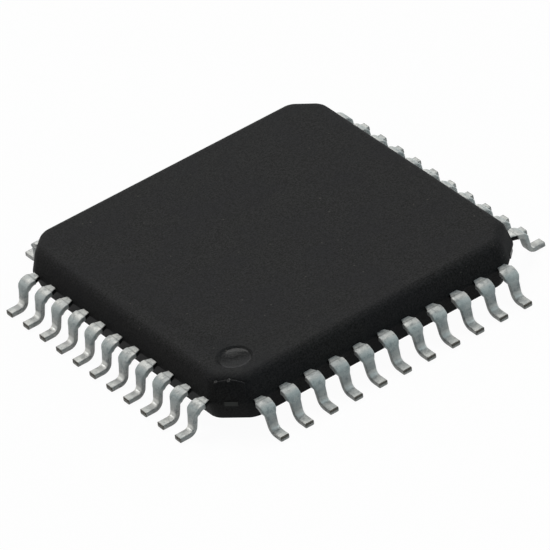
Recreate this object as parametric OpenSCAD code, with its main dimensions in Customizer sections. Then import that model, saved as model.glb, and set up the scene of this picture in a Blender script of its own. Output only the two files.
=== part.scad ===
// Quad flat package with gull-wing leads on all four sides.
// A moulded body holds a stamped lead frame, a die on its paddle and the bond wires.
// The origin is the middle of the package on the seating plane, and pin 1 is at the -X, -Y corner.
// Pins count anticlockwise from above: the -Y side, then +X, +Y and -X.

/* [Body] */
// Distance from the last lead of a row to the side of the body
row_margin = 1; // [0.95:0.05:1.6]
// Depth of the body above the middle of the lead frame
upper_depth = 0.725; // [0.6:0.025:1.5]
// Depth of the body below the middle of the lead frame
lower_depth = 0.645; // [0.6:0.005:1.5]
// Gap between the seating plane and the underside of the body
standoff = 0.13; // [0.05:0.01:0.2]
// Slope of the side walls away from the parting line, in degrees
draft_angle = 14; // [5:1:18]
// Leg of the chamfer on each corner
corner_chamfer = 0.76; // [0.5:0.02:0.86]
// Radius of the rounded edge round the top
top_edge_radius = 0.3; // [0.05:0.01:0.35]
// Radius of the rounded edge round the underside
bottom_edge_radius = 0.05; // [0.03:0.01:0.2]
// Height of the upright band left by the mould at the parting line
parting_band = 0.03; // [0.02:0.01:0.1]

/* [Marks] */
// Diameter of the round pin 1 dimple in the top
dimple_d = 1; // [0.6:0.05:1.4]
// Depth of the pin 1 dimple
dimple_depth = 0.08; // [0.04:0.01:0.15]
// Distance from each side of the body to the middle of the pin 1 dimple
dimple_inset = 1.15; // [0.9:0.05:2]
// Diameter of the ejector pin marks in the underside
ejector_d = 1.2; // [0.6:0.1:2]
// Depth of the ejector pin marks
ejector_depth = 0.03; // [0.02:0.01:0.08]
// Distance from each side of the body to the middle of an ejector pin mark
ejector_inset = 1.6; // [1.2:0.1:3]

/* [Leads] */
// Number of leads on each side
leads_per_side = 11; // [5:1:13]
// Distance between the middles of neighbouring leads
lead_pitch = 0.8; // [0.65:0.05:1.27]
// Thickness of the lead frame
lead_thickness = 0.145; // [0.1:0.005:0.2]
// Width of a lead at its foot
foot_width = 0.28; // [0.2:0.01:0.4]
// Width of a lead at its shoulder, where the dam bar was cut away
shoulder_width = 0.44; // [0.3:0.01:0.5]
// Width of a lead where it leaves the body
neck_width = 0.27; // [0.2:0.01:0.35]
// Length of the neck between the body and the shoulder
neck_length = 0.15; // [0.1:0.01:0.25]
// Length of the cut edge between the neck and the shoulder
shoulder_edge = 0.02; // [0.01:0.01:0.08]
// Drop from the underside of the lead frame to the lower end of the shoulder
shoulder_drop = 0.03; // [0.01:0.01:0.1]
// Drop over which a lead narrows from its shoulder to its foot
taper_drop = 0.09; // [0.05:0.01:0.25]

/* [Lead forming] */
// Distance that a lead reaches out from the side of the body
lead_reach = 1.03; // [0.95:0.01:1.5]
// Length of the flat sole behind the toe
sole_length = 0.3; // [0.15:0.01:0.4]
// Bend radius of the knee, at the middle of the thickness
knee_radius = 0.28; // [0.15:0.01:0.32]
// Bend radius of the heel, at the middle of the thickness
heel_radius = 0.22; // [0.15:0.01:0.28]
// Angle that the lead falls at between knee and heel, in degrees
fall_angle = 80; // [72:1:85]

/* [Lead frame inside] */
// Straight length of a lead inside the body
anchor_length = 0.4; // [0.3:0.05:0.8]
// Width of an inner finger at its tip
tip_width = 0.2; // [0.12:0.01:0.24]
// Gap between the paddle and the finger tips
tip_gap = 0.45; // [0.3:0.05:0.8]
// Distance from the last finger tip of a row to the corner of the square that the tips lie on
tip_margin = 0.6; // [0.5:0.05:0.9]
// Drop of the paddle below the leads
downset = 0.15; // [0.1:0.01:0.25]
// Width of the tie bars that hold the paddle at its corners
tie_bar_width = 0.36; // [0.2:0.02:0.4]
// Length of tie bar that stays level beyond the corner of the paddle
tie_bar_shelf = 0.15; // [0.05:0.05:0.4]

/* [Die and wires] */
// Side of the square die
die_size = 3.2; // [2:0.1:4]
// Thickness of the die
die_thickness = 0.28; // [0.15:0.01:0.35]
// Border of the paddle outside the die
paddle_border = 0.4; // [0.2:0.05:0.8]
// Thickness of the adhesive under the die
adhesive_thickness = 0.025; // [0.015:0.005:0.05]
// Border of adhesive that is squeezed out past the die
adhesive_border = 0.05; // [0.02:0.01:0.15]
// Distance from the edge of the die to the row of wire balls
ball_inset = 0.1; // [0.06:0.01:0.2]
// Distance from the last wire ball of a row to the corner of the die
ball_margin = 0.3; // [0.2:0.05:0.6]
// Diameter of a wire ball
ball_d = 0.07; // [0.06:0.005:0.1]
// Height of a wire ball
ball_height = 0.02; // [0.01:0.005:0.03]
// Diameter of the bond wires
wire_d = 0.025; // [0.018:0.001:0.032]
// Rise of a wire loop above the line between its ends
loop_rise = 0.22; // [0.15:0.01:0.28]
// Distance from a finger tip to the end of its wire
stitch_inset = 0.15; // [0.1:0.01:0.3]

/* [Hidden] */
$fn = 48;

lead_count = 4 * leads_per_side;
body_size = (leads_per_side - 1) * lead_pitch + 2 * row_margin;
side = body_size / 2;

// Heights above the seating plane
frame_z = standoff + lower_depth;
frame_top = frame_z + lead_thickness / 2;
frame_bottom = frame_z - lead_thickness / 2;
top_z = frame_z + upper_depth;
paddle_bottom = frame_bottom - downset;
adhesive_bottom = frame_top - downset;
die_bottom = adhesive_bottom + adhesive_thickness;
die_top = die_bottom + die_thickness;

// Rounded edges of the body, built up from thin slices
edge_slices = 4;
slice = 0.001;

// Distances out from the middle of the package, along a lead
neck_end = side + neck_length;
toe = side + lead_reach;
fan_end = side - anchor_length;
paddle_size = die_size + 2 * paddle_border;
tip_out = paddle_size / 2 + tip_gap;
tip_pitch = 2 * (tip_out - tip_margin) / (leads_per_side - 1);

// Gull-wing profile: the knee turns the lead down, a straight fall follows, and the heel turns it level
bend_drop = (knee_radius + heel_radius) * (1 - cos(fall_angle));
fall_drop = frame_z - lead_thickness / 2 - bend_drop;
heel_end = toe - sole_length;
heel_start = heel_end - heel_radius * sin(fall_angle);
knee_end = heel_start - fall_drop / tan(fall_angle);
knee_start = knee_end - knee_radius * sin(fall_angle);
bend_steps = 10;
shoulder_bottom = frame_bottom - shoulder_drop;
taper_bottom = shoulder_bottom - taper_drop;

// Tie bars, measured out along a diagonal
paddle_corner = paddle_size / sqrt(2);
tie_low = paddle_corner + tie_bar_shelf;
tie_high = tie_low + downset;
tie_end = (body_size - corner_chamfer) / sqrt(2);

// Bond wires
ball_pitch = (die_size - 2 * ball_margin) / (leads_per_side - 1);
ball_out = die_size / 2 - ball_inset;
ball_top = die_top + ball_height;
stitch_out = tip_out + stitch_inset;
// Angle that a wire's arc runs past its ends, before it is cut off level
wire_overrun = 3;

function lead_name(pin) = str("lead_", pin < 10 ? "0" : "", pin);

// Place of a pin: its side, counted from -Y, and its steps from the middle of that side
function pin_side(pin) = floor((pin - 1) / leads_per_side);
function pin_step(pin) = (pin - 1) % leads_per_side - (leads_per_side - 1) / 2;
function mix(a, b, share) = a + (b - a) * share;
function arc(centre, radius, from, to) =
    [for (step = [0 : bend_steps]) centre + radius * polar(mix(from, to, step / bend_steps))];
function polar(angle) = [cos(angle), sin(angle)];

// Turns a shape that points out along +X to the side of its pin
module at_pin(pin) {
    rotate([0, 0, 90 * pin_side(pin) - 90])
        children();
}

// Chamfered square section of the body, with its four sides moved in by a distance
module body_section(inset) {
    half = side - inset;
    flat = half - corner_chamfer;
    polygon([
        [half, -flat], [half, flat], [flat, half], [-flat, half],
        [-half, flat], [-half, -flat], [-flat, -half], [flat, -half]
    ]);
}

// Slices of one half of the body, up from the parting line, ending in the rounded edge
module half_slices(depth, radius) {
    centre = depth - radius;
    for (step = [0 : edge_slices]) {
        angle = mix(draft_angle, 90, step / edge_slices);
        inset = centre * tan(draft_angle) + radius / cos(draft_angle) - radius * cos(angle);
        translate([0, 0, centre + radius * sin(angle) - slice])
            linear_extrude(slice)
                body_section(inset);
    }
}

// Outer form of the body, before its marks and what it holds
module body_form() {
    translate([0, 0, frame_z])
        hull() {
            translate([0, 0, -parting_band / 2])
                linear_extrude(parting_band)
                    body_section(0);
            half_slices(upper_depth, top_edge_radius);
            mirror([0, 0, 1])
                half_slices(lower_depth, bottom_edge_radius);
        }
}

// Shallow round mark, cut down from the plane z = 0
module round_mark(d, depth) {
    translate([0, 0, -depth])
        cylinder(d = d, h = 2 * depth);
}

// Moulded body, with the lead frame, die and wires embedded in it
module moulded_body() {
    color("#2d2d2e")
        difference() {
            body_form();
            translate([dimple_inset - side, dimple_inset - side, top_z])
                round_mark(dimple_d, dimple_depth);
            for (corner = [1, -1])
                translate([corner * (side - ejector_inset), corner * (ejector_inset - side), standoff])
                    round_mark(ejector_d, ejector_depth);
            for (pin = [1 : lead_count])
                lead_blank(pin);
            die_pad();
            die_adhesive();
            die();
            bond_wires();
        }
}

// Outline of a lead seen from above, as [distance out, place along the side, width]
function lead_stations(pin) =
    let (tip = pin_step(pin) * tip_pitch, exit = pin_step(pin) * lead_pitch)
    [
        [tip_out, tip, tip_width],
        [fan_end, exit, neck_width],
        [neck_end, exit, neck_width],
        [neck_end + shoulder_edge, exit, shoulder_width],
        [toe, exit, shoulder_width]
    ];

module lead_outline(pin) {
    stations = lead_stations(pin);
    last = len(stations) - 1;
    polygon(concat(
        [for (s = stations) [s[0], s[1] - s[2] / 2]],
        [for (i = [last : -1 : 0]) [stations[i][0], stations[i][1] + stations[i][2] / 2]]
    ));
}

// Flat lead as it is stamped, in the plane of the lead frame
module lead_blank(pin) {
    at_pin(pin)
        translate([0, 0, frame_bottom])
            linear_extrude(lead_thickness)
                lead_outline(pin);
}

// Lead seen from the side, as [distance out, height], from the middle of the package to the toe
module formed_profile() {
    knee = [knee_start, frame_z - knee_radius];
    heel = [heel_end, heel_radius + lead_thickness / 2];
    polygon(concat(
        [[0, frame_top]],
        arc(knee, knee_radius + lead_thickness / 2, 90, 90 - fall_angle),
        arc(heel, heel_radius - lead_thickness / 2, 270 - fall_angle, 270),
        [[toe, lead_thickness], [toe, 0]],
        arc(heel, heel_radius + lead_thickness / 2, 270, 270 - fall_angle),
        arc(knee, knee_radius - lead_thickness / 2, 90 - fall_angle, 90),
        [[0, frame_bottom]]
    ));
}

// Lead seen from its toe, as [place along the side, height]: it narrows below the shoulder
module end_outline(pin) {
    exit = pin_step(pin) * lead_pitch;
    polygon([
        [exit - foot_width / 2, 0], [exit + foot_width / 2, 0],
        [exit + foot_width / 2, taper_bottom], [exit + shoulder_width / 2, shoulder_bottom],
        [side, shoulder_bottom], [side, top_z], [-side, top_z], [-side, shoulder_bottom],
        [exit - shoulder_width / 2, shoulder_bottom], [exit - foot_width / 2, taper_bottom]
    ]);
}

// Lead from its inner finger to its toe: the formed profile, cut to its outline from above and from the toe
module lead(pin) {
    color("#b4b6b2")
        at_pin(pin)
            intersection() {
                translate([0, side, 0])
                    rotate([90, 0, 0])
                        linear_extrude(body_size)
                            formed_profile();
                linear_extrude(top_z)
                    lead_outline(pin);
                rotate([90, 0, 90])
                    linear_extrude(toe)
                        end_outline(pin);
            }
}

// Tie bar from inside the paddle to the corner of the body, with the step down to the paddle
module tie_bar() {
    profile = [[paddle_size / 2, -downset], [tie_low, -downset], [tie_high, 0], [tie_end, 0]];
    last = len(profile) - 1;
    translate([0, tie_bar_width / 2, frame_bottom])
        rotate([90, 0, 0])
            linear_extrude(tie_bar_width)
                polygon(concat(
                    profile,
                    [for (i = [last : -1 : 0]) profile[i] + [0, lead_thickness]]
                ));
}

// Paddle that carries the die, with its four tie bars
module die_pad() {
    color("#b98a5e") {
        translate([-paddle_size / 2, -paddle_size / 2, paddle_bottom])
            cube([paddle_size, paddle_size, lead_thickness]);
        for (corner = [0 : 3])
            rotate([0, 0, 45 + 90 * corner])
                tie_bar();
    }
}

module die_adhesive() {
    size = die_size + 2 * adhesive_border;
    color("#c9c9c4")
        translate([-size / 2, -size / 2, adhesive_bottom])
            cube([size, size, adhesive_thickness]);
}

module die() {
    color("#5b6270")
        translate([-die_size / 2, -die_size / 2, die_bottom])
            cube([die_size, die_size, die_thickness]);
}

// Place of a wire's ball on the die and of its stitch on the finger, in the frame of its side
function ball_place(pin) = [ball_out, pin_step(pin) * ball_pitch, ball_top];
function stitch_place(pin) =
    let (share = stitch_inset / (fan_end - tip_out))
    [stitch_out, pin_step(pin) * mix(tip_pitch, lead_pitch, share), frame_top];

// Wire loop as one arc in the upright plane through its ends, cut off level at each end
module wire_loop(start, end) {
    span = norm([end[0] - start[0], end[1] - start[1]]);
    fall = end[2] - start[2];
    chord = norm([span, fall]);
    radius = (chord * chord / 4 + loop_rise * loop_rise) / (2 * loop_rise);
    half_angle = asin(chord / 2 / radius);
    tilt = atan2(fall, span);
    heading = atan2(end[1] - start[1], end[0] - start[0]);
    translate(start)
        rotate([0, 0, heading])
            difference() {
                rotate([0, -tilt, 0])
                    translate([chord / 2, 0, loop_rise - radius])
                        rotate([90, 0, 0])
                            rotate([0, 0, 90 - half_angle - wire_overrun])
                                rotate_extrude(angle = 2 * (half_angle + wire_overrun))
                                    translate([radius, 0])
                                        circle(d = wire_d);
                translate([-span / 2, -span / 2, -span])
                    cube(span);
                translate([span / 2, -span / 2, fall - span])
                    cube(span);
            }
}

// Wire ball on the die with the loop that runs from it to the finger
module bond_wire(pin) {
    start = ball_place(pin);
    translate([start[0], start[1], die_top])
        cylinder(d = ball_d, h = ball_height);
    wire_loop(start, stitch_place(pin));
}

module bond_wires() {
    color("#d8b45a")
        for (pin = [1 : lead_count])
            at_pin(pin)
                bond_wire(pin);
}

moulded_body();
die_pad();
die_adhesive();
die();
bond_wires();
for (pin = [1 : lead_count])
    lead(pin);
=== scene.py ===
import math

import bmesh
import bpy
from mathutils import Matrix, Vector


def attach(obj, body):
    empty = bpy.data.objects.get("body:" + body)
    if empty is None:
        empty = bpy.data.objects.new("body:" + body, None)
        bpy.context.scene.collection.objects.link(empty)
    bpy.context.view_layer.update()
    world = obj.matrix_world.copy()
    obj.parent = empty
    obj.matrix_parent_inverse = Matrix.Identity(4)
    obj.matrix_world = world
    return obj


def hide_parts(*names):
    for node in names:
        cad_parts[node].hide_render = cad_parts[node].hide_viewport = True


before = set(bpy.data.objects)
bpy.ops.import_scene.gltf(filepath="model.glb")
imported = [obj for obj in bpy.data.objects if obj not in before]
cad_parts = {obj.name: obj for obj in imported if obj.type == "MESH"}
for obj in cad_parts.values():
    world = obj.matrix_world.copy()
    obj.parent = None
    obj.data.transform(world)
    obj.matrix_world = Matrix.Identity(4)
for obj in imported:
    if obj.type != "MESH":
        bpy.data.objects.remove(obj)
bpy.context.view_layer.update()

MM = 0.001
ROOT2 = math.sqrt(2)
QUARTER_TURN = math.pi / 2

# Mesh steps
MERGE_WITHIN = 0.0005
CUT_WITHIN = 0.0001
LEVEL_WITHIN = 0.001
CREASE_ANGLE = math.radians(40)

# Body: two drafted halves about a parting band
SIDE = 5.0
STANDOFF = 0.13
LOWER_DEPTH = 0.645
UPPER_DEPTH = 0.725
PARTING_BAND = 0.03
FRAME_Z = STANDOFF + LOWER_DEPTH
UPPER_RISE = UPPER_DEPTH - PARTING_BAND / 2
LOWER_DROP = LOWER_DEPTH - PARTING_BAND / 2
DRAFT = math.tan(math.radians(14))

# Corner chamfers: their ends move along the sides by a share of the draft. The upper chamfers lean as the
# sides do, and the lower ones keep their width. The tie bars' ends stand proud of them.
CORNER_CHAMFER = 0.76
TIE_BAR_PROUD = 0.01
CORNER_CUT = CORNER_CHAMFER + TIE_BAR_PROUD * ROOT2
UPPER_CORNER_SHARE = ROOT2 - 1
LOWER_CORNER_SHARE = 1.0

# Rounded edges of the body: a setback is the offset along the faces, as a share of the radius
CORNER_RADIUS = 0.45
CORNER_STEPS = 6
CORNER_SETBACK = math.tan(math.radians(45) / 2)
TOP_EDGE_RADIUS = 0.3
TOP_EDGE_STEPS = 7
BOTTOM_EDGE_RADIUS = 0.05
BOTTOM_EDGE_STEPS = 3
EDGE_SETBACK = math.tan((QUARTER_TURN - math.atan(DRAFT)) / 2)

# Round marks: each profile runs in from the rim as steps of inset and depth. The first few steps of the
# dimple are its wall, and the floor inside them is polished.
MARK_STEPS = 64
DIMPLE_PLACE = (-3.85, -3.85)
DIMPLE_RADIUS = 0.5
DIMPLE_PROFILE = (
    (0.005, 0.001), (0.014, 0.006), (0.042, 0.0275), (0.053, 0.0345), (0.067, 0.0407), (0.085, 0.0461),
    (0.107, 0.0503), (0.135, 0.0536), (0.190, 0.0575), (0.290, 0.0632), (0.390, 0.0680), (0.450, 0.0702),
)
WALL_STEPS = 3
POLISHED_RADIUS = DIMPLE_RADIUS - DIMPLE_PROFILE[WALL_STEPS - 1][0]
EJECTOR_PLACES = ((3.4, -3.4), (-3.4, 3.4))
EJECTOR_RADIUS = 0.6
EJECTOR_PROFILE = ((0.004, 0.001), (0.009, 0.006), (0.014, 0.022), (0.030, 0.028), (0.080, 0.030))
INTO_TOP = -1
INTO_BOTTOM = 1

# Gate scar on the pin-one corner: chips are given as place across, place up and size
GATE_STEPS = 160
GATE_HALF_WIDTH = 0.42
GATE_FOOT = 0.075
GATE_HEIGHT = 0.655
GATE_CROWN = 0.09
GATE_PROUD = 0.02
GATE_ROOT = 0.08
GATE_EDGE_RADIUS = 0.018
GATE_EDGE_STEPS = 3
CHIP_SHAPE = Matrix.Diagonal((1.3, 0.8, 0.9, 1.0))
GATE_CHIPS = ((-0.35, 0.61, 0.044), (0.0, 0.645, 0.052), (0.2, 0.63, 0.022), (0.33, 0.595, 0.018))

# Leads: turns of the bends are in degrees. The shoulder's edge is made in two steps, the first of which is
# a share of its length.
SIDES = 4
LEADS_PER_SIDE = 11
LEAD_PITCH = 0.8
LEAD_THICKNESS = 0.145
LEAD_EDGE_RADIUS = 0.03
LEAD_EDGE_STEPS = 3
TIP_OUT = 2.45
TIP_PITCH = 0.37
TIP_WIDTH = 0.2
FAN_END = 4.6
NECK_WIDTH = 0.27
NECK_FLARE = 0.39
NECK_END = 5.15
SHOULDER_WIDTH = 0.44
SHOULDER_EDGE = 0.02
SHOULDER_STEP = 0.25
FOOT_WIDTH = 0.28
SOLE_LENGTH = 0.3
TOE = 6.03
KNEE_RADIUS = 0.28
HEEL_RADIUS = 0.22
FALL_ANGLE = 80
KNEE_TURNS = (8, 16, 24, 32, 40, 48, 54, 60, 67, 74, FALL_ANGLE)
HEEL_TURNS = (8, 16, 24, 32, 40, 48, 56, 64, 72, FALL_ANGLE)
SHOULDER_TURN = 54
NARROW_TURN = 86
SIDE_FACING = 0.8

# Sheared toe: the lip is drawn out in steps, each a share of its length and the size left
CUT_HEIGHT = 0.07
LIP = 0.014
LIP_STEPS = ((0.45, 0.97), (0.35, 0.92), (0.2, 0.8))
LIP_MIDDLE = 0.55

# Places of materials on a piece, after its first one
POLISHED_PLACE = 1
BROKEN_PLACE = 1
CUT_PLACE = 1
SHEARED_PLACE = 2
FLASH_PLACE = 3

# Colours as they look on a screen, and the part of a noise's range that turns one into the next
NOISE_SPAN = (0.3, 0.7)
MOULD_SPAN = (0.33, 0.67)
MOULD_ROUGH_SPAN = (0.25, 0.75)
CLOUD_SPAN = (0.35, 0.7)
PATCH_SPAN = (0.4, 0.65)
STAIN_SPAN = (0.49, 0.64)
MOULD_TONES = {
    "dark": (24, 24, 24),
    "light": (48, 48, 48),
    "cloud": (35, 35, 38),
    "fleck": (86, 84, 78),
    "pit": (12, 12, 13),
}
# Of the tin's tones, the knee's is a painted cool reflection, the fall's and the foot's are painted shade,
# the lip's is a darker tin with painted shade on it, the one after the foot's is a painted shadow on the
# inner foot, and the last is a painted highlight in the heel.
TIN_TONES = {
    "dark": (176, 177, 175),
    "light": (200, 200, 196),
    "patch": (156, 161, 162),
    "stain": (118, 122, 122),
    "knee": (142, 160, 162),
    "fall": (116, 122, 123),
    "dam_bar": (92, 92, 90),
    "lip": (112, 111, 106),
    "foot": (150, 150, 147),
    "painted_foot_shadow": (116, 116, 115),
    "heel_highlight": (236, 236, 232),
}

# Filler in the moulding compound: its kinds are told apart by a random number for each grain
FILLER_GRAIN = 0.2
FILLER_EDGE = (0.16, 0.06)
FLECK_ABOVE = 0.9
FLECK_SHARE = 0.45
PIT_BELOW = 0.07
PIT_SHARE = 0.7
ROUGHER = 0.1
SMOOTHER = 0.08

# Zones of the tin, which fade in from the first place to the second. The fall's two and those that end in
# up are heights above the board, and the others are distances out from the middle.
TIN_ZONES = {
    "knee_out": (5.3, 5.42),
    "knee_up": (0.3, 0.6),
    "fall_top": (0.62, 0.5),
    "fall_foot": (0.2, 0.3),
    "dam_bar_in": (5.12, 5.145),
    "dam_bar_out": (5.18, 5.155),
    "lip": (5.99, 6.01),
    "foot": (5.72, 5.8),
    "painted_foot_shadow_in": (5.64, 5.70),
    "painted_foot_shadow_out": (5.88, 5.76),
    "heel_in": (5.56, 5.59),
    "heel_out": (5.70, 5.63),
    "heel_up": (0.36, 0.28),
}
TIN_ROUGHNESS = (0.46, 0.6)
TIN_METALLIC = 0.18
# Share of painted highlight in the heel's colour; its metallic and smoother values are the heel's real
# polish
BURNISH_HIGHLIGHT_SHARE = 0.9
BURNISHED_METALLIC = 0.35
BURNISHED_SMOOTHER = 0.15

# Tarnish on the ends of the tie bars, out from the middle
TARNISH_ZONE = (4.4, 4.55)
TARNISH_TONE = (23, 26, 24)

# Circuit on the die
CIRCUIT_BLOCK = 0.5
SILICON_ROUGHNESS = (0.14, 0.24)

# Blender's Mix node has its factor and two colours at these inputs, and the mixed colour at this output
MIX_INPUTS = (0, 6, 7)
MIX_OUTPUT = 2

# Floor, in metres
FLOOR_HALF = 1.0
FLOOR_DROP = 0.02 * MM
FLOOR_DARK = (206, 206, 206)
FLOOR_LIGHT = (214, 214, 214)
FLOOR_WHITE = 0.96

# Light: each lamp has an azimuth and an elevation in degrees, counted as the camera's are, then its width
# in metres, its power in watts and its colour
ROOM_TONE = (196, 196, 200)
ROOM_STRENGTH = 0.07
LAMP_DISTANCE = 0.5
LAMPS = (
    ("overhead", 165, 58, 0.25, 2.1, (1.0, 0.995, 0.97)),
    ("behind", 157, 18, 0.3, 0.4, (1.0, 1.0, 1.0)),
    ("front_right", 37, 43, 0.4, 0.58, (0.72, 0.94, 1.0)),
    ("left", -120, 50, 0.4, 0.12, (1.0, 0.98, 0.97)),
    ("back_left", -142, 24, 0.1, 0.38, (1.0, 1.0, 1.0)),
    ("right", 80, 30, 0.4, 0.85, (1.0, 0.98, 0.97)),
)

# Camera, fitted to the lead tips and the edges of the body
IMAGE_PIXELS = 550
SENSOR_WIDTH = 36.0
VIEW_AZIMUTH = math.radians(-30.08)
VIEW_ELEVATION = math.radians(34.86)
VIEW_ROLL = math.radians(-9.68)
PIXELS_PER_MM = 37.217
VIEW_DISTANCE = 177.21
VIEW_SHIFT_X = 0.55
VIEW_SHIFT_Y = 5.34
CLIP_START = 0.01
CLIP_END = 10


# Material nodes


def tone(red, green, blue):
    """Colour as it looks on a screen, from 0 to 255, as the linear colour that a shader takes."""
    channels = [c / 255 for c in (red, green, blue)]
    linear = [c / 12.92 if c <= 0.04045 else ((c + 0.055) / 1.055) ** 2.4 for c in channels]
    return (*linear, 1.0)


class Finish:
    """A new material with its shader, and short ways to add the nodes that feed it."""

    def __init__(self, name):
        self.material = bpy.data.materials.new(name)
        self.material.use_nodes = True
        self.tree = self.material.node_tree
        self.shader = self.tree.nodes["Principled BSDF"]
        self.place = self.node("ShaderNodeTexCoord").outputs["Object"]

    def node(self, kind, **settings):
        """Adds a node with its settings."""
        made = self.tree.nodes.new(kind)
        for name, value in settings.items():
            setattr(made, name, value)
        return made

    def put(self, socket, value):
        """Gives an input its value: an output is linked, and a number or colour is written."""
        if isinstance(value, bpy.types.NodeSocket):
            self.tree.links.new(value, socket)
        else:
            socket.default_value = value

    def feed(self, node, **values):
        """Sets a node's inputs by name, with _ for a space."""
        for name, value in values.items():
            self.put(node.inputs[name.replace("_", " ")], value)

    def noise(self, grain, detail=3.0, roughness=0.55):
        """Noise whose grain is about that many millimetres across."""
        made = self.node("ShaderNodeTexNoise")
        self.feed(made, Vector=self.place, Scale=1 / (grain * MM), Detail=detail, Roughness=roughness)
        return made.outputs["Fac"]

    def spread(self, value, low, high, to_low, to_high):
        """The value, moved from the range low to high into the range to_low to to_high."""
        made = self.node("ShaderNodeMapRange", interpolation_type="SMOOTHSTEP")
        for socket, given in zip(made.inputs, (value, low, high, to_low, to_high)):
            self.put(socket, given)
        return made.outputs["Result"]

    def fade(self, value, zone, share=1.0):
        """From 0 at a zone's first place to a share at its second, both in millimetres."""
        start, end = zone
        return self.spread(value, start * MM, end * MM, 0, share)

    def by_side(self, faces_x, x_share, y_share):
        """One share on the two sides that face along X, and another on the two that face along Y."""
        return self.spread(faces_x, 0, 1, y_share, x_share)

    def blend(self, share, first, second):
        """Colour between two colours, either of which may come from a node."""
        made = self.node("ShaderNodeMix", data_type="RGBA", clamp_factor=True)
        for place, value in zip(MIX_INPUTS, (share, first, second)):
            self.put(made.inputs[place], value)
        return made.outputs[MIX_OUTPUT]

    def mottle(self, noise, span, first, second, share=1.0):
        """Colour that goes from the first to a share of the second over part of a noise's range."""
        return self.blend(self.spread(noise, *span, 0, share), first, second)

    def two_tones(self, noise, dark, light, rough):
        """Lets the shader's roughness follow a noise, and returns a colour that follows it too."""
        self.feed(self.shader, Roughness=self.spread(noise, *NOISE_SPAN, *rough))
        return self.mottle(noise, NOISE_SPAN, tone(*dark), tone(*light))

    def maths(self, operation, first, second=0.0):
        """One step of arithmetic."""
        made = self.node("ShaderNodeMath", operation=operation)
        for socket, value in zip(made.inputs, (first, second)):
            self.put(socket, value)
        return made.outputs[0]

    def product(self, first, *others):
        """All the values multiplied together."""
        for other in others:
            first = self.maths("MULTIPLY", first, other)
        return first

    def along(self, axis):
        """A point's place along an axis, in metres."""
        parts = self.node("ShaderNodeSeparateXYZ")
        self.feed(parts, Vector=self.place)
        return parts.outputs[axis]

    def outwards(self):
        """How far a point lies out from the middle along X and along Y, in metres."""
        return [self.maths("ABSOLUTE", self.along(axis)) for axis in "XY"]

    def bump(self, height, depth, strength):
        """Raises and lowers the surface by a depth in millimetres."""
        made = self.node("ShaderNodeBump")
        self.feed(made, Height=height, Distance=depth * MM, Strength=strength)
        self.feed(self.shader, Normal=made.outputs["Normal"])


def mould_compound(name, roughness, grain_depth, shine):
    """Black epoxy with a spark-eroded mould's fine grain, and a few pale flecks and dark pits of filler."""
    finish = Finish(name)
    fine = finish.noise(grain=0.045, detail=4.0, roughness=0.75)
    cloud = finish.noise(grain=1.4, detail=3.0)
    filler = finish.node("ShaderNodeTexVoronoi", feature="F1")
    finish.feed(filler, Vector=finish.place, Scale=1 / (FILLER_GRAIN * MM))
    kind = finish.node("ShaderNodeSeparateColor")
    finish.feed(kind, Color=filler.outputs["Color"])
    near = finish.spread(filler.outputs["Distance"], *FILLER_EDGE, 0, 1)
    fleck = finish.product(near, finish.maths("GREATER_THAN", kind.outputs["Red"], FLECK_ABOVE))
    pit = finish.product(near, finish.maths("LESS_THAN", kind.outputs["Red"], PIT_BELOW))
    tones = {part: tone(*shown) for part, shown in MOULD_TONES.items()}
    colour = finish.mottle(fine, MOULD_SPAN, tones["dark"], tones["light"])
    colour = finish.mottle(cloud, CLOUD_SPAN, colour, tones["cloud"], share=0.35)
    colour = finish.blend(finish.product(fleck, FLECK_SHARE), colour, tones["fleck"])
    colour = finish.blend(finish.product(pit, PIT_SHARE), colour, tones["pit"])
    rough = finish.spread(fine, *MOULD_ROUGH_SPAN, roughness - SMOOTHER, roughness + ROUGHER)
    finish.feed(finish.shader, Base_Color=colour, Roughness=rough, Specular_IOR_Level=shine)
    finish.bump(fine, depth=grain_depth, strength=0.6)
    return finish.material


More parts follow.
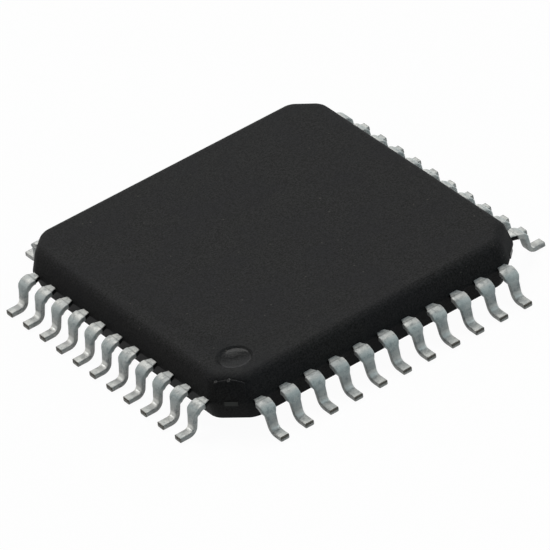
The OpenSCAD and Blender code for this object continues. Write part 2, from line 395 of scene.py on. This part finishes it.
def tin_plating(name, shade, wear_and_painted_light):
    """Matt tin: mottled crystal grain, with a painted cool reflection over the knee, painted shade on the
    falls of the leads on the sides that face along Y, a darker band at the dam bar, a darker lip with
    painted shade that is deeper on the sides that face along X, and painted shade over the foot. Where the
    forming tool has rubbed the heel, it is smoother and more metallic and carries a painted highlight that
    is stronger on the sides that face along X, and on those sides a painted shadow lies on the foot beyond
    it."""
    finish = Finish(name)
    grain = finish.noise(grain=0.03, detail=3.0, roughness=0.6)
    patches = finish.noise(grain=0.3, detail=4.0, roughness=0.65)
    stains = finish.noise(grain=0.16, detail=5.0, roughness=0.7)
    height = finish.along("Z")
    out_x, out_y = finish.outwards()
    reach = finish.maths("MAXIMUM", out_x, out_y)
    faces_x = finish.maths("GREATER_THAN", out_x, out_y)
    tones = {part: tone(*(c * shade for c in shown)) for part, shown in TIN_TONES.items()}

    def zone(value, part, share=1.0):
        return finish.fade(value, TIN_ZONES[part], share)

    colour = finish.mottle(grain, NOISE_SPAN, tones["dark"], tones["light"])
    colour = finish.mottle(patches, PATCH_SPAN, colour, tones["patch"], share=0.6)
    colour = finish.mottle(stains, STAIN_SPAN, colour, tones["stain"], share=0.65)
    # Painted cool reflection over the knee
    knee_reflection = finish.product(zone(reach, "knee_out", share=0.4), zone(height, "knee_up"))
    colour = finish.blend(knee_reflection, colour, tones["knee"])
    # Painted shade on the falls, on the leads of the sides that face along Y
    fall_shade = finish.product(
        zone(height, "fall_top"), zone(height, "fall_foot"), finish.by_side(faces_x, x_share=0, y_share=0.4)
    )
    colour = finish.blend(fall_shade, colour, tones["fall"])
    # Darker band at the dam bar
    at_dam_bar = finish.product(zone(reach, "dam_bar_in", share=0.4), zone(reach, "dam_bar_out"))
    colour = finish.blend(at_dam_bar, colour, tones["dam_bar"])
    # Darker lip, its own tin with painted shade that is deeper on the sides that face along X
    lip_tone_and_shade = finish.product(zone(reach, "lip"), finish.by_side(faces_x, x_share=0.9, y_share=0.6))
    colour = finish.blend(lip_tone_and_shade, colour, tones["lip"])
    # Painted shade over the foot
    colour = finish.blend(zone(reach, "foot", share=0.25), colour, tones["foot"])
    rough = finish.spread(patches, *NOISE_SPAN, *TIN_ROUGHNESS)
    metallic = TIN_METALLIC
    if wear_and_painted_light:
        # Painted shadow on the inner foot, on the sides that face along X
        painted_foot_shadow = finish.product(zone(reach, "painted_foot_shadow_in", share=0.5), faces_x, zone(reach, "painted_foot_shadow_out"))
        colour = finish.blend(painted_foot_shadow, colour, tones["painted_foot_shadow"])
        # Heel rubbed smoother and more metallic, with a painted highlight that is stronger on the sides
        # that face along X
        heel = finish.product(zone(reach, "heel_in"), zone(reach, "heel_out"), zone(height, "heel_up"))
        burnish_and_highlight = finish.product(heel, finish.by_side(faces_x, x_share=1, y_share=0.5))
        colour = finish.blend(finish.product(burnish_and_highlight, BURNISH_HIGHLIGHT_SHARE), colour, tones["heel_highlight"])
        rough = finish.maths("SUBTRACT", rough, finish.product(burnish_and_highlight, BURNISHED_SMOOTHER))
        metallic = finish.spread(burnish_and_highlight, 0, 1, TIN_METALLIC, BURNISHED_METALLIC)
    finish.feed(
        finish.shader, Base_Color=colour, Roughness=rough, Metallic=metallic, Specular_IOR_Level=0.3
    )
    finish.bump(grain, depth=0.003, strength=0.5)
    return finish.material


def cut_alloy():
    """Bare lead frame alloy on the sheared end of a toe, dulled and streaked by the blade."""
    finish = Finish("cut_alloy")
    streaks = finish.noise(grain=0.02, detail=2.0)
    colour = finish.two_tones(streaks, dark=(64, 61, 56), light=(99, 96, 89), rough=(0.5, 0.7))
    finish.feed(finish.shader, Base_Color=colour, Metallic=0.3, Specular_IOR_Level=0.3)
    finish.bump(streaks, depth=0.003, strength=0.5)
    return finish.material


def lead_frame_copper():
    """Rolled copper alloy, tarnished nearly black on the cut ends of the tie bars."""
    finish = Finish("lead_frame_copper")
    rolled = finish.noise(grain=0.08, detail=3.0)
    colour = finish.two_tones(rolled, dark=(176, 118, 84), light=(198, 142, 104), rough=(0.32, 0.48))
    tarnish = finish.fade(finish.maths("MAXIMUM", *finish.outwards()), TARNISH_ZONE)
    colour = finish.blend(tarnish, colour, tone(*TARNISH_TONE))
    finish.feed(finish.shader, Base_Color=colour, Metallic=0.6)
    finish.bump(rolled, depth=0.002, strength=0.4)
    return finish.material


def silver_adhesive():
    """Epoxy filled with silver flake."""
    finish = Finish("silver_adhesive")
    flake = finish.noise(grain=0.02, detail=4.0, roughness=0.7)
    colour = finish.two_tones(flake, dark=(150, 150, 147), light=(205, 205, 200), rough=(0.35, 0.6))
    finish.feed(finish.shader, Base_Color=colour, Metallic=0.5)
    finish.bump(flake, depth=0.004, strength=0.6)
    return finish.material


def silicon():
    """Polished silicon with the faint blocks of its circuit."""
    finish = Finish("silicon")
    blocks = finish.node("ShaderNodeTexBrick", offset=0.5)
    finish.feed(
        blocks, Vector=finish.place, Scale=1 / (CIRCUIT_BLOCK * MM), Color1=tone(84, 92, 112),
        Color2=tone(104, 98, 118), Mortar=tone(66, 70, 82), Mortar_Size=0.03,
    )
    film = finish.noise(grain=0.7, detail=2.0)
    colour = finish.mottle(film, NOISE_SPAN, blocks.outputs["Color"], tone(84, 104, 116), share=0.4)
    rough = finish.spread(film, *NOISE_SPAN, *SILICON_ROUGHNESS)
    finish.feed(finish.shader, Base_Color=colour, Roughness=rough)
    return finish.material


def gold_wire():
    """Drawn gold."""
    finish = Finish("gold_wire")
    drawn = finish.noise(grain=0.05, detail=2.0)
    colour = finish.two_tones(drawn, dark=(208, 166, 78), light=(230, 192, 108), rough=(0.2, 0.34))
    finish.feed(finish.shader, Base_Color=colour, Metallic=1.0)
    return finish.material


# Mesh steps


def only_face(bm):
    """The one face of a flat outline."""
    return bm.faces[:][0]


def face_height(face):
    """Height of a face's middle."""
    return face.calc_center_median().z


def carry_on(bm, end):
    """Extrudes the end face of a form, and returns the new end face, still in the same place."""
    inside = any(len(edge.link_faces) > 1 for edge in end.edges)
    grown = bmesh.ops.extrude_face_region(bm, geom=[end])["geom"]
    if inside:
        bmesh.ops.delete(bm, geom=[end], context="FACES_ONLY")
    return next(g for g in grown if isinstance(g, bmesh.types.BMFace))


def cut_corners(bm, offset, segments):
    """Cuts the corners of a flat outline, or rounds them where there are more segments."""
    bmesh.ops.bevel(
        bm, geom=bm.verts[:], offset=offset, offset_type="OFFSET", affect="VERTICES", segments=segments,
        profile=0.5, material=-1,
    )


def round_off(bm, edges, offset, segments):
    """Rounds edges by an offset measured along the faces beside them."""
    bmesh.ops.bevel(
        bm, geom=edges, offset=offset, offset_type="OFFSET", affect="EDGES", segments=segments,
        profile=0.5, material=-1, clamp_overlap=False,
    )


def cut_away(bm, place, outwards):
    """Cuts off what lies outside a plane."""
    bmesh.ops.bisect_plane(
        bm, geom=[*bm.verts, *bm.edges, *bm.faces], dist=CUT_WITHIN, plane_co=place, plane_no=outwards,
        clear_outer=True,
    )


def linked_object(bm, name, materials):
    """Turns a bmesh in metres into an object in the scene."""
    mesh = bpy.data.meshes.new(name)
    bm.to_mesh(mesh)
    bm.free()
    for material in materials:
        mesh.materials.append(material)
    made = bpy.data.objects.new(name, mesh)
    bpy.context.scene.collection.objects.link(made)
    return made


def finished_piece(bm, name, nodes, materials):
    """Turns a bmesh in millimetres into a piece that rides with the package and stands for CAD nodes."""
    bmesh.ops.remove_doubles(bm, verts=bm.verts, dist=MERGE_WITHIN)
    bmesh.ops.recalc_face_normals(bm, faces=bm.faces)
    bmesh.ops.scale(bm, vec=(MM, MM, MM), verts=bm.verts)
    for face in bm.faces:
        face.smooth = True
    for edge in bm.edges:
        if edge.is_manifold and edge.calc_face_angle() > CREASE_ANGLE:
            edge.smooth = False
    piece = linked_object(bm, name, materials)
    even = piece.modifiers.new("even_normals", "WEIGHTED_NORMAL")
    even.keep_sharp = True
    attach(piece, "root")
    if nodes:
        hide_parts(*nodes)


# Body


def drafted_cap(bm, cap, depth, height, corner_share):
    """Draws a cap of the body out to its end. Its sides lean in by the draft over that depth, and the
    ends of its chamfers move along the sides by a share of that."""
    cap = carry_on(bm, cap)
    lean = depth * DRAFT
    along = lean * corner_share
    for corner in cap.verts:
        x, y = corner.co.xy
        in_x, in_y = (lean, along) if abs(x) > abs(y) else (along, lean)
        step = (-math.copysign(in_x, x), -math.copysign(in_y, y), height)
        bmesh.ops.translate(bm, verts=[corner], vec=step)


def sink_marks(bm, cap, places, radius, profile, inwards):
    """Replaces a flat cap by the same face with round marks sunk into it."""
    level = cap.verts[0].co.z
    outline = list(cap.edges)
    bmesh.ops.delete(bm, geom=[cap], context="FACES_ONLY")
    rims = []
    for x, y in places:
        made = bmesh.ops.create_circle(
            bm, cap_ends=False, segments=MARK_STEPS, radius=radius, matrix=Matrix.Translation((x, y, level))
        )
        rims.append(list(dict.fromkeys(e for v in made["verts"] for e in v.link_edges)))
    edges = outline + [e for rim in rims for e in rim]
    bmesh.ops.triangle_fill(bm, use_beauty=True, edges=edges)
    for (x, y), rim in zip(places, rims):
        middle = Matrix.Translation((-x, -y, 0))
        for (outer, high), (inner, low) in zip(((0.0, 0.0), *profile), profile):
            grown = bmesh.ops.extrude_edge_only(bm, edges=rim)["geom"]
            rim = [g for g in grown if isinstance(g, bmesh.types.BMEdge)]
            ring = [g for g in grown if isinstance(g, bmesh.types.BMVert)]
            share = (radius - inner) / (radius - outer)
            bmesh.ops.scale(bm, vec=(share, share, 1), space=middle, verts=ring)
            bmesh.ops.translate(bm, vec=(0, 0, inwards * (low - high)), verts=ring)
        bmesh.ops.edgeloop_fill(bm, edges=rim)


def moulded_body(matt, polished):
    """Black body with rounded edges, the dimple in its top and the ejector marks in its bottom."""
    bm = bmesh.new()
    bmesh.ops.create_grid(bm, x_segments=1, y_segments=1, size=SIDE)
    bmesh.ops.translate(bm, vec=(0, 0, FRAME_Z - PARTING_BAND / 2), verts=bm.verts)
    cut_corners(bm, CORNER_CUT, segments=1)
    bottom = only_face(bm)
    top = carry_on(bm, bottom)
    bmesh.ops.translate(bm, vec=(0, 0, PARTING_BAND), verts=top.verts)
    drafted_cap(bm, top, UPPER_DEPTH, UPPER_RISE, UPPER_CORNER_SHARE)
    drafted_cap(bm, bottom, LOWER_DEPTH, -LOWER_DROP, LOWER_CORNER_SHARE)
    bmesh.ops.recalc_face_normals(bm, faces=bm.faces)
    upright = [e for e in bm.edges if abs(e.verts[0].co.z - e.verts[1].co.z) > LEVEL_WITHIN]
    round_off(bm, upright, CORNER_RADIUS * CORNER_SETBACK, CORNER_STEPS)
    top = max(bm.faces, key=face_height)
    round_off(bm, list(top.edges), TOP_EDGE_RADIUS * EDGE_SETBACK, TOP_EDGE_STEPS)
    bottom = min(bm.faces, key=face_height)
    round_off(bm, list(bottom.edges), BOTTOM_EDGE_RADIUS * EDGE_SETBACK, BOTTOM_EDGE_STEPS)
    top = max(bm.faces, key=face_height)
    sink_marks(bm, top, [DIMPLE_PLACE], DIMPLE_RADIUS, DIMPLE_PROFILE, INTO_TOP)
    bottom = min(bm.faces, key=face_height)
    sink_marks(bm, bottom, EJECTOR_PLACES, EJECTOR_RADIUS, EJECTOR_PROFILE, INTO_BOTTOM)
    for face in bm.faces:
        middle = face.calc_center_median()
        if middle.z > FRAME_Z and math.dist(middle.xy, DIMPLE_PLACE) < POLISHED_RADIUS:
            face.material_index = POLISHED_PLACE
    finished_piece(bm, "body_moulding", ["moulded_body"], [matt, polished])


def gate_scar(matt, broken):
    """Flat with an arched top where the mould's runner was snapped off, with chips along its upper edge."""
    radius = (GATE_HALF_WIDTH ** 2 + GATE_CROWN ** 2) / (2 * GATE_CROWN)
    bm = bmesh.new()
    arch = Matrix.Translation((0, GATE_HEIGHT - radius, -GATE_ROOT))
    bmesh.ops.create_circle(bm, cap_ends=True, segments=GATE_STEPS, radius=radius, matrix=arch)
    cut_away(bm, (GATE_HALF_WIDTH, 0, 0), (1, 0, 0))
    cut_away(bm, (-GATE_HALF_WIDTH, 0, 0), (-1, 0, 0))
    cut_away(bm, (0, GATE_FOOT, 0), (0, -1, 0))
    front = carry_on(bm, only_face(bm))
    bmesh.ops.translate(bm, vec=(0, 0, GATE_ROOT + GATE_PROUD), verts=front.verts)
    bmesh.ops.recalc_face_normals(bm, faces=bm.faces)
    round_off(bm, list(front.edges), GATE_EDGE_RADIUS, GATE_EDGE_STEPS)
    for across, up, size in GATE_CHIPS:
        chip = Matrix.Translation((across, up, 0)) @ Matrix.Rotation(across + up, 4, "Z") @ CHIP_SHAPE
        made = bmesh.ops.create_icosphere(bm, subdivisions=1, radius=size, matrix=chip)
        for face in {f for v in made["verts"] for f in v.link_faces}:
            face.material_index = BROKEN_PLACE
    lean = UPPER_DEPTH * DRAFT / UPPER_RISE
    level = Vector((1, -1, 0)).normalized()
    upward = Vector((lean, lean, ROOT2)).normalized()
    turn = Matrix((level, upward, level.cross(upward))).transposed().to_4x4()
    corner = SIDE - CORNER_CUT / 2
    place = Matrix.Translation((-corner, -corner, FRAME_Z + PARTING_BAND / 2))
    bmesh.ops.transform(bm, matrix=place @ turn, verts=bm.verts)
    finished_piece(bm, "gate_scar", [], [matt, broken])


# Leads


def set_width(bm, section, middle, width):
    """Moves the two sides of a lead's section apart or together, with its corners kept as they are."""
    for way in (-1, 1):
        side = [v for v in section.verts if (v.co.y - middle) * way > 0]
        reach = max(abs(v.co.y - middle) for v in side)
        bmesh.ops.translate(bm, vec=(0, way * (width / 2 - reach), 0), verts=side)


def first_section(bm, width):
    """Face of a lead's cross-section with rounded corners, square on to its run."""
    bmesh.ops.create_grid(bm, x_segments=1, y_segments=1, size=LEAD_THICKNESS / 2)
    bmesh.ops.rotate(bm, cent=(0, 0, 0), matrix=Matrix.Rotation(QUARTER_TURN, 3, "Y"), verts=bm.verts)
    set_width(bm, only_face(bm), 0, width)
    cut_corners(bm, LEAD_EDGE_RADIUS, LEAD_EDGE_STEPS)
    return only_face(bm)


def run_out(bm, end, step, middle, width):
    """Carries a lead on in a straight line."""
    end = carry_on(bm, end)
    bmesh.ops.translate(bm, vec=step, verts=end.verts)
    set_width(bm, end, middle, width)
    return end


def knee_width(turn):
    """Width of a lead at a turn of its knee: the shoulder's, then in to the foot's."""
    share = (turn - SHOULDER_TURN) / (NARROW_TURN - SHOULDER_TURN)
    return SHOULDER_WIDTH + (FOOT_WIDTH - SHOULDER_WIDTH) * min(1.0, max(0.0, share))


def bend(bm, end, centre, stations, way, middle):
    """Carries a lead on round a bend, through stations of turn and width."""
    turned = 0
    for turn, width in stations:
        end = carry_on(bm, end)
        step = Matrix.Rotation(math.radians(way * (turn - turned)), 3, "Y")
        bmesh.ops.rotate(bm, cent=centre, matrix=step, verts=end.verts)
        set_width(bm, end, middle, width)
        turned = turn
    return end


def trimmed_toe(bm, end, middle):
    """Parts the sheared end of a lead into the cut face above and the lip drawn out below it."""
    parted = bmesh.ops.bisect_plane(
        bm, geom=[end, *end.edges, *end.verts], dist=CUT_WITHIN, plane_co=(TOE - LIP, middle, CUT_HEIGHT),
        plane_no=(0, 0, 1),
    )["geom"]
    faces = [g for g in parted if isinstance(g, bmesh.types.BMFace)]
    cut = max(faces, key=face_height)
    cut.material_index = CUT_PLACE
    lip = min(faces, key=face_height)
    about = Matrix.Translation((0, -middle, -CUT_HEIGHT * LIP_MIDDLE))
    for share, narrow in LIP_STEPS:
        lip = carry_on(bm, lip)
        bmesh.ops.scale(bm, vec=(1, narrow, narrow), space=about, verts=lip.verts)
        bmesh.ops.translate(bm, vec=(share * LIP, 0, 0), verts=lip.verts)


def formed_lead(pin, materials):
    """Lead from its inner finger to its toe, made along +X and turned to its side of the package."""
    side, order = divmod(pin - 1, LEADS_PER_SIDE)
    step = order - (LEADS_PER_SIDE - 1) / 2
    tip = step * TIP_PITCH
    middle = step * LEAD_PITCH
    fall = math.radians(FALL_ANGLE)
    heel_end = TOE - SOLE_LENGTH
    bend_drop = (KNEE_RADIUS + HEEL_RADIUS) * (1 - math.cos(fall))
    fall_drop = FRAME_Z - LEAD_THICKNESS / 2 - bend_drop
    fall_run = fall_drop / math.tan(fall)
    knee_start = heel_end - (HEEL_RADIUS + KNEE_RADIUS) * math.sin(fall) - fall_run
    knee_centre = (knee_start, middle, FRAME_Z - KNEE_RADIUS)
    heel_centre = (heel_end, middle, LEAD_THICKNESS / 2 + HEEL_RADIUS)
    straight_runs = (
        (FAN_END - TIP_OUT, middle - tip, NECK_WIDTH),
        (SIDE - FAN_END, 0, NECK_WIDTH),
        (NECK_END - SIDE, 0, NECK_FLARE),
        (SHOULDER_STEP * SHOULDER_EDGE, 0, SHOULDER_WIDTH - SHOULDER_EDGE),
        ((1 - SHOULDER_STEP) * SHOULDER_EDGE, 0, SHOULDER_WIDTH),
        (knee_start - (NECK_END + SHOULDER_EDGE), 0, SHOULDER_WIDTH),
    )
    knee = [(turn, knee_width(turn)) for turn in KNEE_TURNS]
    heel = [(turn, FOOT_WIDTH) for turn in HEEL_TURNS]
    bm = bmesh.new()
    end = first_section(bm, TIP_WIDTH)
    bmesh.ops.translate(bm, vec=(TIP_OUT, tip, FRAME_Z), verts=end.verts)
    for out, sideways, width in straight_runs:
        end = run_out(bm, end, (out, sideways, 0), middle, width)
    end = bend(bm, end, knee_centre, knee, 1, middle)
    end = run_out(bm, end, (fall_run, 0, -fall_drop), middle, FOOT_WIDTH)
    end = bend(bm, end, heel_centre, heel, -1, middle)
    end = run_out(bm, end, (TOE - LIP - heel_end, 0, 0), middle, FOOT_WIDTH)
    trimmed_toe(bm, end, middle)
    bmesh.ops.recalc_face_normals(bm, faces=bm.faces)
    for face in bm.faces:
        if abs(face.normal.y) > SIDE_FACING:
            outside = face.calc_center_median().x > NECK_END
            face.material_index = SHEARED_PLACE if outside else FLASH_PLACE
    to_side = Matrix.Rotation((side - 1) * QUARTER_TURN, 3, "Z")
    bmesh.ops.rotate(bm, cent=(0, 0, 0), matrix=to_side, verts=bm.verts)
    finished_piece(bm, f"formed_lead_{pin:02d}", [f"lead_{pin:02d}"], materials)


# Parts that stay as the CAD made them


def dress_node(name, material):
    """Gives a CAD node its material."""
    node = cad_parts[name]
    if not node.material_slots:
        node.data.materials.append(material)
    for slot in node.material_slots:
        slot.material = material


# Stage, light and camera


def white_floor():
    """Pale floor that looks white, and keeps a trace of the shadow."""
    finish = Finish("white_floor")
    surface = finish.noise(grain=30, detail=2.0)
    colour = finish.mottle(surface, NOISE_SPAN, tone(*FLOOR_DARK), tone(*FLOOR_LIGHT))
    finish.feed(finish.shader, Base_Color=colour, Roughness=0.9, Specular_IOR_Level=0.0)
    light_path = finish.node("ShaderNodeLightPath").outputs
    seen = finish.maths("MAXIMUM", light_path["Is Camera Ray"], light_path["Is Glossy Ray"])
    seen = finish.maths("MAXIMUM", seen, light_path["Is Transmission Ray"])
    glow = finish.node("ShaderNodeEmission")
    finish.feed(glow, Strength=1.0)
    both = finish.node("ShaderNodeMixShader")
    shares = (finish.product(seen, FLOOR_WHITE), finish.shader.outputs[0], glow.outputs[0])
    for socket, value in zip(both.inputs, shares):
        finish.put(socket, value)
    finish.feed(finish.tree.nodes["Material Output"], Surface=both.outputs[0])
    bm = bmesh.new()
    bmesh.ops.create_grid(bm, x_segments=1, y_segments=1, size=FLOOR_HALF)
    bmesh.ops.translate(bm, vec=(0, 0, -FLOOR_DROP), verts=bm.verts)
    floor = linked_object(bm, "floor", [finish.material])


def direction(azimuth, elevation):
    """Unit vector from the package, for angles in radians: the azimuth turns from -Y towards +X."""
    level = math.cos(elevation)
    return Vector((math.sin(azimuth) * level, -math.cos(azimuth) * level, math.sin(elevation)))


def soft_lamp(name, azimuth, elevation, size, power, colour):
    """Square softbox that faces the package."""
    back = direction(math.radians(azimuth), math.radians(elevation))
    data = bpy.data.lights.new(name, "AREA")
    data.size = size
    data.energy = power
    data.color = colour
    lamp = bpy.data.objects.new(name, data)
    lamp.location = back * LAMP_DISTANCE
    lamp.rotation_mode = "QUATERNION"
    lamp.rotation_quaternion = (-back).to_track_quat("-Z", "Y")
    bpy.context.scene.collection.objects.link(lamp)


def room_light():
    """Even light from all round."""
    world = bpy.data.worlds.new("room")
    world.use_nodes = True
    background = world.node_tree.nodes["Background"]
    background.inputs["Color"].default_value = tone(*ROOM_TONE)
    background.inputs["Strength"].default_value = ROOM_STRENGTH
    bpy.context.scene.world = world


def photo_camera():
    """Camera at the photograph's place, turned by its roll and moved by its shift."""
    back = direction(VIEW_AZIMUTH, VIEW_ELEVATION)
    level = Vector((math.cos(VIEW_AZIMUTH), math.sin(VIEW_AZIMUTH), 0))
    upward = back.cross(level)
    right = math.cos(VIEW_ROLL) * level + math.sin(VIEW_ROLL) * upward
    up = math.cos(VIEW_ROLL) * upward - math.sin(VIEW_ROLL) * level
    aside = right * (VIEW_SHIFT_X / PIXELS_PER_MM)
    raised = up * (VIEW_SHIFT_Y / PIXELS_PER_MM)
    place = back * VIEW_DISTANCE - aside + raised
    data = bpy.data.cameras.new("photo_camera")
    data.sensor_width = SENSOR_WIDTH
    data.lens = PIXELS_PER_MM * VIEW_DISTANCE / IMAGE_PIXELS * SENSOR_WIDTH
    data.clip_start = CLIP_START
    data.clip_end = CLIP_END
    camera = bpy.data.objects.new("photo_camera", data)
    camera.matrix_world = Matrix.Translation(place * MM) @ Matrix((right, up, back)).transposed().to_4x4()
    bpy.context.scene.collection.objects.link(camera)
    bpy.context.scene.camera = camera


matt = mould_compound("mould_compound", roughness=0.6, grain_depth=0.008, shine=0.03)
polished = mould_compound("mould_compound_polished", roughness=0.14, grain_depth=0.001, shine=0.034)
broken = mould_compound("mould_compound_broken", roughness=0.45, grain_depth=0.004, shine=0.6)
moulded_body(matt, polished)
gate_scar(matt, broken)

plating = tin_plating("tin_plating", shade=1.0, wear_and_painted_light=True)
# The leads' sheared sides: a copy of the tin in painted shade, without the heel's marks
sheared = tin_plating("tin_plating_sheared_shaded", shade=0.95, wear_and_painted_light=False)
lead_materials = [plating, cut_alloy(), sheared, matt]
for pin in range(1, SIDES * LEADS_PER_SIDE + 1):
    formed_lead(pin, lead_materials)

dress_node("die_pad", lead_frame_copper())
dress_node("die_adhesive", silver_adhesive())
dress_node("die", silicon())
dress_node("bond_wires", gold_wire())

white_floor()
room_light()
for lamp_settings in LAMPS:
    soft_lamp(*lamp_settings)
photo_camera()
bpy.context.scene.view_settings.view_transform = "Standard"
